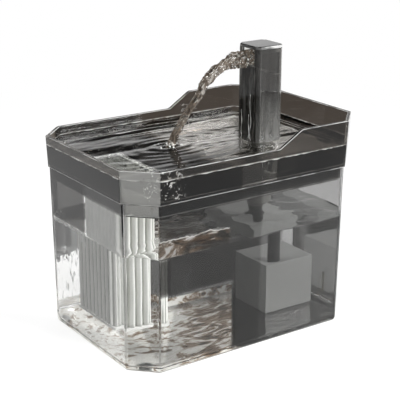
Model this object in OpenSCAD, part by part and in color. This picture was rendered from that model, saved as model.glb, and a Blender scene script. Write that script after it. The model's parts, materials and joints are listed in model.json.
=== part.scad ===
// Pet water fountain. A clear tank with bevelled corners carries a lift-off drinking
// tray. A square spout tower stands in the tray and is fed by a small submersible
// pump, which sits under a dark case with its intake sponge. A pleated filter hangs
// from the tray floor at the drinking end.
// Frame: +X towards the tower end, +Z up, origin on the table below the tank's middle.

/* [Tank] */
// Outer length of the tank at its rim
tank_len = 190; // [180:1:220]
// Outer width of the tank at its rim
tank_wid = 134; // [126:1:160]
// Height of the tank's rim above the table
tank_h = 120; // [112:1:150]
// Thickness of the tank's walls
tank_wall = 2.6; // [1.8:0.1:3.6]
// Thickness of the tank's floor
tank_floor = 3.2; // [2.4:0.1:5]
// Leg of the bevel on each upright corner
corner_leg = 18; // [12:1:24]
// Rounding of the upright edges beside each bevel
edge_r = 1.6; // [0.8:0.2:3]
// Rounding of the tank's bottom edge
base_r = 4; // [2:0.5:5]
// Draft of the tank's walls in degrees
tank_draft = 0.7; // [0.3:0.1:1.2]
// Width of the cable notch in the rear wall
notch_w = 8; // [6.5:0.5:10]
// Depth of the cable notch below the rim
notch_d = 8; // [7:0.5:9]
// Distance of the cable notch from the middle of the rear wall
notch_off = 34; // [20:1:40]

/* [Feet] */
// Diameter of each silicone foot
foot_d = 11; // [8:0.5:14]
// Height that each foot stands below the tank
foot_proud = 0.8; // [0.5:0.1:1.5]
// Depth of each foot's recess in the tank's underside
foot_recess = 1; // [0.6:0.1:1.4]
// Distance of the feet from the tank's sides
foot_inset = 19; // [17:1:28]

/* [Tray] */
// How far the tray stands out past the tank's rim on each side
tray_over = 0.9; // [0.4:0.1:2]
// Height of the low drinking rim above the tank's rim
rim_low = 23; // [20:1:28]
// Height of the high rear rim above the tank's rim
rim_high = 34.3; // [30:0.1:40]
// Distance from the tank's tower end to where the rim starts to rise
rise_off = 77; // [72:1:86]
// Length over which the rim rises
rise_len = 18.4; // [12:0.1:26]
// Rounding of the rim where it starts and stops rising
rise_r = 5; // [2:0.5:6]
// Thickness of the tray's walls
tray_wall = 2.4; // [1.8:0.1:3]
// Thickness of the tray's floor
tray_floor = 2.5; // [2:0.1:3]
// Draft of the tray's outer walls in degrees
tray_draft = 2.4; // [1:0.1:3]
// How deep the tray's skirt nests in the tank
nest_d = 9.5; // [8:0.5:10]
// Clearance between the tray's skirt and the tank
nest_gap = 0.4; // [0.3:0.1:0.8]

/* [Tower] */
// Distance of the tower's axis from the tank's tower end
tower_off = 42; // [41:0.5:45]
// Outer width of the square column
tower_w = 24.5; // [23.5:0.5:26]
// Bevel of the column's corners
tower_bevel = 3.2; // [2.5:0.1:4]
// Thickness of the column's walls
tower_wall = 1.8; // [1.4:0.1:2.2]
// Height of the tower's top above the tank's rim
tower_rise = 80.5; // [70:0.5:95]
// Thickness of the cap on the tower
cap_t = 2.4; // [2:0.1:3]
// Depth of the cap's plug inside the column
plug_d = 3.6; // [3:0.1:5]
// Height of the spout window under the cap
window_h = 12.5; // [9:0.5:14]
// Fall of the ramp from the window's sill to the column's rear wall
ramp_fall = 7; // [5:0.5:8]
// Thickness of the ramp
ramp_t = 1.6; // [1.2:0.1:2]
// Wall of the spigot
spigot_wall = 1.6; // [1.2:0.1:2]
// Length of the spigot below the tray's floor
spigot_len = 38; // [32:1:40]
// Distance of the riser pipe's axis in front of the tower's axis
riser_off = 3; // [2:0.1:3.2]
// Outer diameter of the riser pipe
riser_d = 8; // [7:0.1:8.4]
// Bore of the riser pipe
riser_bore = 6; // [4.5:0.1:6.2]
// Diameter of the weep holes at the column's foot
weep_d = 2; // [1.5:0.1:2.5]
// Thickness of the sealing washer under the column
seal_t = 1; // [0.8:0.1:1.5]
// Width of the sealing washer's ring
washer_w = 2.6; // [2.2:0.1:3]
// Height of the lower weep hole above the column's foot plate
weep_z = 4; // [3:0.5:6]

/* [Filter] */
// Size of the filter along the tray's length
filter_x = 29.6; // [26:0.1:32]
// Size of the filter across the tray
filter_y = 51.6; // [46:0.1:56]
// Distance of the filter's middle from the tank's drinking end
filter_off = 28.5; // [26:0.5:34]
// Height of the filter's lower end above the tank's floor
filter_lift = 17; // [10:1:25]
// Pitch of the pleats
pleat_pitch = 5.6; // [5:0.1:7]
// Depth of the pleats
pleat_depth = 3; // [2:0.1:3.4]
// Thickness of the pleated fleece
fleece_t = 1.2; // [0.8:0.1:1.5]
// Diameter of the drain holes in the filter's lid
drain_d = 3; // [2.4:0.1:3.4]
// Thickness of the filter's lid
lid_t = 1.8; // [1.4:0.1:2.4]

/* [Pump] */
// Width of the pump
pump_w = 31; // [30:0.5:32]
// Height of the pump
pump_h = 29; // [28:0.5:30]
// Depth of the pump's motor housing
pump_depth = 23; // [22:0.5:24]
// Radius of the impeller
impeller_r = 9.5; // [8.5:0.1:10]
// Radius of the rotor magnet
magnet_r = 5.2; // [4.6:0.1:5.4]
// Diameter of the ceramic shaft
shaft_d = 2; // [1.6:0.1:2.4]
// Number of impeller blades
blades = 6; // [5:1:8]
// Height of each suction cup
cup_h = 3; // [2.5:0.1:3.5]
// Outer diameter of the hose
hose_d = 10.4; // [10:0.1:11.6]

/* [Pump case] */
// Outer length of the case along the tank
case_x = 43; // [42:0.5:46]
// Outer depth of the case across the tank
case_y = 58; // [57:0.5:60]
// Height of the case above the tank's floor
case_h = 38; // [37:0.5:42]
// Thickness of the case's walls
case_wall = 1.6; // [1.2:0.1:2]
// Width of the intake slots in the far wall
slot_w = 2; // [1.5:0.1:2.4]

/* [Hidden] */

smoke = [0.30, 0.31, 0.31, 0.45];
dark_grey = [0.16, 0.17, 0.17];
mid_grey = [0.24, 0.25, 0.25];
rubber_black = [0.06, 0.06, 0.06];
fleece_white = [0.90, 0.90, 0.87];
sponge_yellow = [0.86, 0.81, 0.45];
steel = [0.62, 0.63, 0.65];
copper = [0.72, 0.42, 0.22];
ceramic = [0.93, 0.93, 0.90];
board_green = [0.10, 0.32, 0.18];

eps = 0.01;          // overshoot of a cut past a face
slice = 0.01;        // thickness of the thin plans that a hull joins
slip = 0.1;          // radial clearance of a sliding fit
seat = 0.3;          // clearance around a soft or loosely held piece
lip_r = 0.7;         // rounding of open rims
fine = 48;           // facets of round parts
coarse = 32;         // facets of small roundings

floor_z = foot_proud + tank_floor;                  // top of the tank's floor
nest_z = tank_h - nest_d;                           // underside of the tray's floor
basin_z = nest_z + tray_floor;                      // top of the tray's floor
high_z = tank_h + rim_high;
low_z = tank_h + rim_low;
rise_x = tank_len / 2 - rise_off;                   // where the rim starts to rise

tower_x = tank_len / 2 - tower_off;                 // tower's axis
riser_x = tower_x - riser_off;                      // axis of the riser, the hose and the outlet
column_z = basin_z + seal_t;                        // foot of the column
tower_z = tank_h + tower_rise;                      // top of the cap
column_top = tower_z - cap_t;
sill_z = column_top - window_h;                     // lower edge of the spout window
window_w = tower_w - 2 * tower_bevel - 1;
ramp_run = tower_w - 2 * tower_wall;                // length of the ramp in the column
column_base = 2;                                    // plate that closes the column's foot
spigot_d = tower_w - 2 * (seat + washer_w + slip);  // spigot under the column
spigot_z = basin_z - spigot_len;                    // lower end of the spigot
spigot_taper = 8;                                   // length of the spigot's tapered end
socket_wall = 2.2;                                  // wall of the boss under the tray
socket_len = 12;                                    // length of that boss
riser_low = 6;                                      // how far the riser hangs below the spigot
riser_high = 3;                                     // how far it stands above the ramp

lid_rim = 3;                                        // how far the filter's lid overlaps the tray
filter_gap = 0.5;                                   // clearance of the filter in its opening
filter_pos = filter_off - tank_len / 2;             // filter's middle
filter_low = floor_z + filter_lift;                 // underside of the filter's end cap
filter_cap_t = 2;
media_low = filter_low + filter_cap_t;
media_top = nest_z - 0.5;
post_w = 2.4;                                       // corner posts of the filter frame
inner_x = filter_x - 2 * (pleat_depth + fleece_t);  // clear space inside the pleats
inner_y = filter_y - 2 * (pleat_depth + fleece_t);
tab_w = 14;                                         // finger tab on the filter's lid
tab_h = 8;
tab_t = 2;
tab_hole = 5;

outlet_off = 8;                                     // outlet's distance from the impeller's axis
pump_x = riser_x + outlet_off;                      // impeller's axis
pump_low = floor_z + cup_h;                         // underside of the pump
axis_z = pump_low + pump_h / 2 + 0.5;
cover_t = 2;                                        // thickness of the pump's front cover
volute_d = 7;                                       // depth of the volute
front_y = -volute_d / 2;                            // front face of the motor housing
back_y = front_y + pump_depth;
back_plate_t = 1.6;
volute_r = impeller_r + 2;
chamber_r = magnet_r + 0.6;                         // rotor chamber
chamber_wall = 1.2;
chamber_end = back_y - back_plate_t - 1.6;          // closed end of the rotor chamber
chamber_cap = 1.4;                                  // thickness of that end
motor_wall = 2;                                     // walls round the stator's space
outlet_bore = 5.4;
nozzle_d = 8;                                       // outlet nozzle inside the hose
nozzle_h = 11;                                      // its height above the pump
hose_bore = max(nozzle_d, riser_d) + 2 * slip;
hose_low = pump_low + pump_h + 1;
hose_top = spigot_z - 0.5;
hose_edge = 6.3;                                     // case left beside the hose
case_left = riser_x - hose_d / 2 - hose_edge;       // case's wall nearest the filter
case_near = -10;                                    // case's wall nearest the -Y side
case_top = floor_z + case_h;
sponge_x = case_x - 2 * case_wall - 2 * seat;
sponge_y = case_near + case_y - case_wall - 2 * seat - back_y;
sponge_z = 30;
stator_y = front_y + volute_d + motor_wall;         // front of the stator's space
coil_t = 1.2;                                       // thickness of the winding round the yoke
core_y = stator_y + coil_t + seat;                  // front of the lamination stack
core_t = 7;                                         // thickness of that stack
core_leg = 4.2;                                     // width of the core's legs
core_half = chamber_r + chamber_wall + seat;        // half the space between the legs
yoke_h = 3;                                         // height of the core's yoke
yoke_z = pump_low + motor_wall + coil_t + seat;     // underside of that yoke
board_t = 1;                                        // thickness of the drive board
board_y = core_y + core_t + coil_t + seat;
seal_w = 1;                                         // width of the cover's seal
seal_r = volute_r + 0.6;                            // inner radius of the cover's seal
press = 0.05;                                       // clearance of a close fit
bush_d = 4.4;
bush_t = 2.2;
bush_seat = 0.6;                                    // how deep each bush sits in its seat
front_bush_y = front_y - cover_t + bush_seat;
rear_bush_y = chamber_end + bush_seat - bush_t;
bush_wall = 1.2;                                    // ring that holds the front bush
spider_w = 2.2;                                     // bars that carry that ring
intake_r = 6.5;                                     // radius of the pump's intake
disc_t = 1.2;                                       // impeller's back disc
disc_gap = 0.8;                                     // space between the impeller and the volute
blade_t = 1;                                        // thickness of the blades
blade_share = 0.86;                                 // blades' reach as a share of the radius
cup_d = 8;
cup_neck = 4;
cup_plug = 1.4;                                     // how far a cup's stem enters the pump
cup_in = 5.5;                                       // cups' distance from the pump's edges
gland_d = 5.6;
gland_len = 4.5;
gland_bore = 3.2;
gland_z = 7;                                        // height of the gland above the pump's base
gland_in = 1.2;                                     // how far the gland enters the housing
gland_y = back_y - cup_in - 3;
cable_w = 6;                                        // width of the case's slot for the cable
slot_low = 5;                                       // height of the intake slots above the floor
slot_top = 3;                                       // how far they end below the sponge's top

// Plan of a rectangle with bevelled corners
function octagon(l, w, c) = [
  [l / 2, w / 2 - c], [l / 2 - c, w / 2], [-l / 2 + c, w / 2], [-l / 2, w / 2 - c],
  [-l / 2, -w / 2 + c], [-l / 2 + c, -w / 2], [l / 2 - c, -w / 2], [l / 2, -w / 2 + c]
];

// Leg of a bevel after its plan has moved in by t
function leg_in(c, t) = c - t * (2 - sqrt(2));

// How far the tank's outer wall has drawn in at height z
function tank_in(z) = (tank_h - z) * tan(tank_draft);

// How far the tray's outer wall stands out past the tank's rim at height z
function tray_out(z) = tray_over + (z - tank_h) * tan(tray_draft);

// A thin plan of the body at height z, moved in by t from the tank's rim
module plan(z, t) {
  l = tank_len - 2 * t;
  w = tank_wid - 2 * t;
  translate([0, 0, z])
    linear_extrude(slice)
      offset(r = edge_r, $fn = coarse)
        polygon(octagon(l - 2 * edge_r, w - 2 * edge_r, leg_in(leg_in(corner_leg, t), edge_r)));
}

// A drafted tub: its round bottom edge has radius r, and its wall is moved in by t
module tub(z0, z1, t, r) {
  hull() {
    for (a = [0 : 22.5 : 90])
      plan(z0 + r * (1 - cos(a)), t + tank_in(z0) + r * (1 - sin(a)));
    plan(z1 - slice, t + tank_in(z1));
  }
}

// A block of the column's plan, moved in by t, between two heights
module column_block(z0, z1, t) {
  translate([tower_x, 0, z0])
    linear_extrude(z1 - z0)
      polygon(octagon(tower_w - 2 * t, tower_w - 2 * t, leg_in(tower_bevel, t)));
}

module along_y(y0, y1, r) {
  translate([pump_x, y0, axis_z])
    rotate([-90, 0, 0])
      cylinder(h = y1 - y0, r = r, $fn = fine);
}

// ---- Tank and feet ----

module at_feet(i) {
  sx = i % 2 == 0 ? 1 : -1;
  sy = i < 2 ? -1 : 1;
  translate([sx * (tank_len / 2 - foot_inset), sy * (tank_wid / 2 - foot_inset), 0])
    children();
}

module cable_notch() {
  translate([tank_len / 2 - 4 * tank_wall, -notch_off - notch_w / 2, tank_h - notch_d])
    cube([6 * tank_wall, notch_w, notch_d + 1]);
}

module tank() {
  color(smoke)
    difference() {
      tub(foot_proud, tank_h, 0, base_r);
      tub(floor_z, tank_h + 1, tank_wall, base_r - 1);
      cable_notch();
      for (i = [0 : 3])
        at_feet(i)
          cylinder(h = foot_proud + foot_recess, d = foot_d + 2 * slip, $fn = fine);
    }
}

module foot(i) {
  color(rubber_black)
    at_feet(i)
      cylinder(h = foot_proud + foot_recess, d = foot_d, $fn = fine);
}

// ---- Drinking tray ----

// Everything above the stepped rim
module above_rim() {
  reach = tank_len;
  rotate([90, 0, 0])
    linear_extrude(2 * tank_wid, center = true)
      offset(r = -rise_r, $fn = fine)
        offset(r = 2 * rise_r, $fn = fine)
          offset(r = -rise_r, $fn = fine)
            polygon([
              [-reach, low_z], [rise_x, low_z], [rise_x + rise_len, high_z],
              [reach, high_z], [reach, high_z + rim_high], [-reach, high_z + rim_high]
            ]);
}

module tray_shell() {
  nest_in = tank_wall + nest_gap;
  ease = 1.5;
  top = high_z + 1;
  difference() {
    union() {
      hull() {
        plan(tank_h, -tray_out(tank_h) + lip_r);
        plan(tank_h + lip_r, -tray_out(tank_h + lip_r));
        plan(top, -tray_out(top));
      }
      hull() {
        plan(nest_z, nest_in + tank_in(nest_z) + ease);
        plan(nest_z + ease, nest_in + tank_in(nest_z));
        plan(tank_h + slice, nest_in);
      }
    }
    hull() {
      plan(tank_h + tray_wall, tray_wall - tray_out(tank_h + tray_wall));
      plan(top + 1, tray_wall - tray_out(top + 1));
    }
    hull() {
      plan(basin_z, nest_in + tray_wall + tank_in(basin_z));
      plan(tank_h + tray_wall + eps, nest_in + tray_wall);
    }
    above_rim();
  }
}

// Pocket that carries the cable down past the tray's skirt, grown by t
module cable_pocket(t) {
  depth = 5;
  x0 = tank_len / 2 - tank_wall - nest_gap - depth;
  translate([x0 - t, -notch_off - notch_w / 2 - t, nest_z - eps])
    cube([depth + t + (t > 0 ? 0 : 2 * tank_wall), notch_w + 2 * t, nest_d + t + (t > 0 ? 0 : -eps)]);
}

module tray() {
  bore_d = spigot_d + 2 * slip;
  color(smoke)
    difference() {
      union() {
        tray_shell();
        intersection() {
          cable_pocket(tray_wall);
          translate([0, 0, nest_z])
            linear_extrude(nest_d + tray_wall)
              square([tank_len - 2 * (tank_wall + nest_gap) - 1, tank_wid], center = true);
        }
        translate([tower_x, 0, basin_z - socket_len])
          cylinder(h = socket_len, d = bore_d + 2 * socket_wall, $fn = fine);
      }
      cable_pocket(0);
      translate([tower_x, 0, basin_z - socket_len - 1])
        cylinder(h = socket_len + 2, d = bore_d, $fn = fine);
      translate([filter_pos, 0, nest_z])
        cube([filter_x + 2 * filter_gap, filter_y + 2 * filter_gap, 3 * tray_floor], center = true);
    }
}

// ---- Spout tower ----

// Inside or outside of the spigot: a round tube of radius r under the column, drawn in
// from height z to a neck of radius neck round the riser
module spigot(r, neck, z, top) {
  translate([tower_x, 0, spigot_z + spigot_taper])
    cylinder(h = top - spigot_z - spigot_taper, r = r, $fn = fine);
  hull() {
    translate([tower_x, 0, spigot_z + spigot_taper])
      cylinder(h = slice, r = r, $fn = coarse);
    translate([riser_x, 0, z])
      cylinder(h = slice, r = neck, $fn = coarse);
  }
}

module tower_column() {
  r = spigot_d / 2;
  neck = riser_d / 2 + slip;
  color(smoke)
    difference() {
      union() {
        difference() {
          column_block(column_z, column_top, 0);
          column_block(column_z + column_base, column_top + 1, tower_wall);
        }
        spigot(r, neck + spigot_wall, spigot_z, column_z + eps);
      }
      spigot(r - spigot_wall, neck, spigot_z + 2, column_z + column_base + 1);
      translate([riser_x, 0, spigot_z - 1])
        cylinder(h = 4, r = neck, $fn = fine);
      translate([tower_x - tower_w / 2 - 1, -window_w / 2, sill_z])
        cube([tower_wall + 1.5, window_w, window_h + 1]);
      for (k = [1, 2])
        translate([tower_x, 0, column_z + column_base + k * weep_z])
          rotate([90, 0, 0])
            cylinder(h = tower_w, d = weep_d, $fn = coarse);
    }
}

module tower_seal() {
  color(rubber_black)
    translate([tower_x, 0, basin_z])
      difference() {
        cylinder(h = seal_t, d = tower_w - 2 * seat, $fn = fine);
        translate([0, 0, -1])
          cylinder(h = seal_t + 2, d = spigot_d + 2 * slip, $fn = fine);
      }
}

// Sloping deck of the spout: it falls from the sill to the rear wall and has a
// down-turned lip behind the front wall
module spout_ramp() {
  x0 = tower_x - ramp_run / 2;
  lip = 6;
  color(smoke)
    difference() {
      intersection() {
        rotate([90, 0, 0])
          linear_extrude(tower_w, center = true)
            polygon([
              [x0, sill_z], [x0 + ramp_run, sill_z - ramp_fall],
              [x0 + ramp_run, sill_z - ramp_fall - ramp_t], [x0 + ramp_t, sill_z - ramp_t],
              [x0 + ramp_t, sill_z - lip], [x0, sill_z - lip]
            ]);
        column_block(sill_z - 2 * lip, sill_z + 1, tower_wall + slip);
      }
      translate([riser_x, 0, sill_z - 3 * lip])
        cylinder(h = 4 * lip, d = riser_d + 2 * slip, $fn = fine);
    }
}

module riser_pipe() {
  low = spigot_z - riser_low;
  top = sill_z - ramp_fall * (0.5 - riser_off / ramp_run) + riser_high;
  color(smoke)
    translate([riser_x, 0, low])
      difference() {
        cylinder(h = top - low, d = riser_d, $fn = fine);
        translate([0, 0, -1])
          cylinder(h = top - low + 2, d = riser_bore, $fn = fine);
      }
}

module tower_cap() {
  ease = 0.8;
  plug_t = 1.3;
  color(smoke) {
    hull() {
      column_block(column_top, column_top + cap_t - ease, 0);
      column_block(column_top, column_top + cap_t - 0.3 * ease, 0.3 * ease);
      column_block(column_top, column_top + cap_t, ease);
    }
    difference() {
      column_block(column_top - plug_d, column_top + eps, tower_wall + slip);
      column_block(column_top - plug_d - 1, column_top, tower_wall + slip + plug_t);
      translate([tower_x - tower_w, -tower_w, column_top - plug_d - 1])
        cube([tower_w / 2 + tower_bevel, 2 * tower_w, plug_d + 1]);
    }
  }
}

// ---- Drop-in filter ----

// Outline of the pleats along one side of length l, running from 0 to l. Each pleat
// has a flat crest and a flat root, and t moves the whole outline in.
function pleat_side(l, t) =
  let (n = floor((l - 2 * pleat_depth) / pleat_pitch), p = (l - 2 * pleat_depth) / n)
  [for (i = [0 : n - 1], k = [0 : 3])
    [pleat_depth + p * (i + [0.08, 0.42, 0.58, 0.92][k]), t + (k == 0 || k == 3 ? pleat_depth : 0)]];

// Closed outline of the pleated fleece, moved in by t
function pleat_ring(l, w, t) = concat(
  [for (q = pleat_side(l, t)) [q[0] - l / 2, q[1] - w / 2]],
  [for (q = pleat_side(w, t)) [l / 2 - q[1], q[0] - w / 2]],
  [for (q = pleat_side(l, t)) [l / 2 - q[0], w / 2 - q[1]]],
  [for (q = pleat_side(w, t)) [q[1] - l / 2, w / 2 - q[0]]]
);

module pleated_media() {
  color(fleece_white)
    translate([filter_pos, 0, media_low])
      difference() {
        linear_extrude(media_top - media_low)
          polygon(pleat_ring(filter_x, filter_y, 0));
        translate([0, 0, -1])
          linear_extrude(media_top - media_low + 2)
            square([inner_x, inner_y], center = true);
      }
}

module filter_frame() {
  nx = 4;
  ny = 7;
  px = (inner_x - drain_d) / (nx - 1);
  py = (inner_y - drain_d) / (ny - 1);
  post_h = media_top - media_low;
  color(smoke)
    translate([filter_pos, 0, 0]) {
      difference() {
        union() {
          translate([0, 0, basin_z])
            linear_extrude(lid_t)
              polygon(octagon(filter_x + 2 * lid_rim, filter_y + 2 * lid_rim, 3));
          translate([-filter_x / 2, -filter_y / 2, media_top])
            cube([filter_x, filter_y, basin_z - media_top + eps]);
        }
        for (i = [0 : nx - 1], j = [0 : ny - 1])
          if (abs(j - (ny - 1) / 2) > 1 || i == 0 || i == nx - 1)
            translate([px * (i - (nx - 1) / 2), py * (j - (ny - 1) / 2), media_top - 1])
              cylinder(h = 2 * nest_d, d = drain_d, $fn = coarse);
      }
      difference() {
        translate([-tab_t / 2, -tab_w / 2, basin_z + lid_t - eps])
          cube([tab_t, tab_w, tab_h]);
        translate([-tab_t, 0, basin_z + lid_t + tab_h / 2])
          rotate([0, 90, 0])
            cylinder(h = 2 * tab_t, d = tab_hole, $fn = fine);
      }
      for (sx = [-1, 1], sy = [-1, 1])
        translate([sx * (inner_x - post_w) / 2, sy * (inner_y - post_w) / 2, media_low])
          linear_extrude(post_h + eps)
            square(post_w, center = true);
    }
}

module filter_end_cap() {
  color(fleece_white)
    translate([filter_pos, 0, filter_low])
      linear_extrude(filter_cap_t)
        polygon(octagon(filter_x, filter_y, 2));
}

module carbon_core() {
  gap = post_w + seat;
  h = media_top - media_low - 2 * seat;
  color(rubber_black)
    translate([filter_pos, 0, media_low + seat])
      linear_extrude(h) {
        square([inner_x - 2 * gap, inner_y - 2 * seat], center = true);
        square([inner_x - 2 * seat, inner_y - 2 * gap], center = true);
      }
}

// ---- Submersible pump ----

module pump_box(y0, y1, t = 0) {
  translate([pump_x - pump_w / 2 + t, y0, pump_low + t])
    cube([pump_w - 2 * t, y1 - y0, pump_h - 2 * t]);
}

module at_cups(i) {
  sx = i % 2 == 0 ? 1 : -1;
  y = i < 2 ? front_y + cup_in : back_y - cup_in;
  translate([pump_x + sx * (pump_w / 2 - cup_in), y, 0])
    children();
}

module pump_housing() {
  color(mid_grey)
    difference() {
      union() {
        difference() {
          pump_box(front_y, back_y);
          pump_box(stator_y, back_y + 1, motor_wall);
        }
        along_y(stator_y - 1, chamber_end + chamber_cap, chamber_r + chamber_wall);
        translate([riser_x, 0, pump_low + pump_h - 1])
          cylinder(h = nozzle_h + 1, d = nozzle_d, $fn = fine);
      }
      along_y(front_y - 1, front_y + volute_d, volute_r);
      along_y(front_y, chamber_end, chamber_r);
      along_y(chamber_end - 1, chamber_end + bush_seat, bush_d / 2);
      translate([riser_x, 0, axis_z])
        cylinder(h = pump_h + nozzle_h, d = outlet_bore, $fn = fine);
      difference() {
        along_y(front_y - 1, front_y + seal_w, seal_r + seal_w);
        along_y(front_y - 2, front_y + seal_w + 1, seal_r);
      }
      for (i = [0 : 3])
        at_cups(i)
          translate([0, 0, pump_low - 1])
            cylinder(h = cup_plug + 1, d = cup_neck, $fn = fine);
      translate([pump_x + pump_w / 2 - gland_in, gland_y, pump_low + gland_z])
        rotate([0, 90, 0])
          cylinder(h = 2 * gland_in, d = gland_d, $fn = fine);
    }
}

module pump_cover() {
  color(mid_grey)
    difference() {
      pump_box(front_y - cover_t, front_y);
      difference() {
        along_y(front_y - cover_t - 1, front_y + 1, intake_r);
        along_y(front_y - cover_t - 2, front_y + 2, bush_d / 2 + bush_wall);
        for (a = [0 : 60 : 120])
          translate([pump_x, front_y - cover_t / 2, axis_z])
            rotate([0, a, 0])
              cube([2 * intake_r + 1, 3 * cover_t, spider_w], center = true);
      }
      along_y(front_bush_y, front_y + 1, bush_d / 2);
    }
}

module pump_back_plate() {
  color(dark_grey)
    pump_box(back_y - back_plate_t, back_y, motor_wall + slip);
}

module cover_seal() {
  color(rubber_black)
    difference() {
      along_y(front_y, front_y + seal_w, seal_r + seal_w - press);
      along_y(front_y - 1, front_y + seal_w + 1, seal_r + press);
    }
}

module stator_core() {
  top = axis_z + core_half;
  color(steel)
    translate([pump_x, core_y, 0])
      difference() {
        translate([-core_half - core_leg, 0, yoke_z])
          cube([2 * (core_half + core_leg), core_t, top - yoke_z]);
        translate([-core_half, -1, yoke_z + yoke_h])
          cube([2 * core_half, core_t + 2, top]);
      }
}

module coil_winding() {
  color(copper)
    translate([pump_x, core_y + core_t / 2, yoke_z + yoke_h / 2])
      difference() {
        cube([2 * core_half - 1, core_t + 2 * coil_t, yoke_h + 2 * coil_t], center = true);
        cube([2 * core_half + 1, core_t + 2 * slip, yoke_h + 2 * slip], center = true);
      }
}

module drive_board() {
  color(board_green)
    difference() {
      pump_box(board_y, board_y + board_t, motor_wall + slip);
      along_y(board_y - 1, board_y + board_t + 1, chamber_r + chamber_wall + slip);
    }
}

module cable_gland() {
  wall = 0.6;
  color(rubber_black)
    translate([pump_x + pump_w / 2 - gland_in, gland_y, pump_low + gland_z])
      rotate([0, 90, 0])
        difference() {
          union() {
            cylinder(h = gland_in + eps, d = gland_d - 2 * slip, $fn = fine);
            translate([0, 0, gland_in])
              cylinder(h = gland_len, d1 = gland_d - 2 * slip, d2 = gland_bore + 2 * wall, $fn = fine);
          }
          translate([0, 0, 1])
            cylinder(h = gland_len + gland_in, d = gland_bore, $fn = fine);
        }
}

module pump_shaft() {
  color(ceramic)
    along_y(front_bush_y + bush_seat, chamber_end, shaft_d / 2);
}

module bush(y0, y1) {
  color(rubber_black)
    difference() {
      along_y(y0, y1, bush_d / 2 - press);
      along_y(y0 - 1, y1 + 1, shaft_d / 2);
    }
}

module impeller() {
  y0 = front_y + disc_gap;
  y1 = front_y + volute_d - disc_gap;
  hub = magnet_r - 1.4;
  color(ceramic)
    difference() {
      union() {
        along_y(y1 - disc_t, y1, impeller_r);
        along_y(y0, y1, hub);
        for (k = [0 : blades - 1])
          translate([pump_x, y0, axis_z])
            rotate([0, k * 360 / blades, 0])
              translate([-hub, 0, hub - blade_t - slip])
                cube([impeller_r * blade_share + hub, y1 - y0, blade_t]);
      }
      along_y(y0 - 1, y1 + 1, shaft_d / 2 + press);
      difference() {
        along_y(y0 - 1, y1 + 1, 2 * impeller_r);
        along_y(y0 - 2, y1 + 2, impeller_r);
      }
    }
}

module rotor_magnet() {
  color(dark_grey)
    difference() {
      along_y(front_y + volute_d - disc_gap, rear_bush_y - seat, magnet_r);
      along_y(front_y, chamber_end, shaft_d / 2 + press);
    }
}

module suction_cup(i) {
  r = cup_d / 2;
  n = cup_neck / 2;
  color(rubber_black)
    at_cups(i)
      rotate_extrude($fn = fine)
        polygon([
          [0, floor_z + 0.9], [r - 1, floor_z], [r, floor_z], [r - 0.4, floor_z + 0.8],
          [n + 0.4, pump_low], [n - slip, pump_low], [n - slip, pump_low + cup_plug],
          [0, pump_low + cup_plug]
        ]);
}

module outlet_hose() {
  color(rubber_black)
    translate([riser_x, 0, hose_low])
      difference() {
        cylinder(h = hose_top - hose_low, d = hose_d, $fn = fine);
        translate([0, 0, -1])
          cylinder(h = hose_top - hose_low + 2, d = hose_bore, $fn = fine);
      }
}

// ---- Pump case and sponge ----

module pump_case() {
  pitch = 2 * slot_w;
  slots = floor((case_x - 6 * case_wall) / pitch);
  color(dark_grey)
    difference() {
      translate([case_left, case_near, floor_z])
        cube([case_x, case_y, case_h]);
      translate([case_left + case_wall, case_near + case_wall, floor_z - 1])
        cube([case_x - 2 * case_wall, case_y - 2 * case_wall, case_h - case_wall + 1]);
      translate([riser_x, 0, case_top - 2 * case_wall])
        cylinder(h = 3 * case_wall, d = hose_d + 4 * seat, $fn = fine);
      for (i = [0 : slots - 1])
        translate([
          case_left + case_x / 2 + pitch * (i - (slots - 1) / 2) - slot_w / 2,
          case_near + case_y - 2 * case_wall, floor_z + slot_low
        ])
          cube([slot_w, 3 * case_wall, sponge_z - slot_low - slot_top]);
      translate([case_left + case_x - 2 * case_wall, gland_y - cable_w / 2, floor_z - 1])
        cube([3 * case_wall, cable_w, cup_h + gland_z + gland_d]);
    }
}

module intake_sponge() {
  color(sponge_yellow)
    translate([case_left + case_wall + seat, back_y + seat, floor_z + seat])
      cube([sponge_x, sponge_y, sponge_z]);
}

tank();
foot(1);  // foot_front_left
foot(3);  // foot_front_right
foot(0);  // foot_rear_left
foot(2);  // foot_rear_right
tray();
tower_column();
tower_seal();
spout_ramp();
riser_pipe();
tower_cap();
filter_frame();
filter_end_cap();
pleated_media();
carbon_core();
pump_case();
pump_housing();
pump_cover();
pump_back_plate();
cover_seal();
stator_core();
coil_winding();
drive_board();
cable_gland();
pump_shaft();
bush(front_bush_y, front_bush_y + bush_t);  // shaft_bush_front
bush(rear_bush_y, rear_bush_y + bush_t);  // shaft_bush_rear
impeller();
rotor_magnet();
suction_cup(0);  // suction_cup_1
suction_cup(1);  // suction_cup_2
suction_cup(2);  // suction_cup_3
suction_cup(3);  // suction_cup_4
outlet_hose();
intake_sponge();
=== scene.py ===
"""Looks of the pet water fountain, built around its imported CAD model. Lengths are metres."""
import json
import math

import bmesh
import bpy
from mathutils import Matrix, Vector, noise
from mathutils.bvhtree import BVHTree


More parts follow.
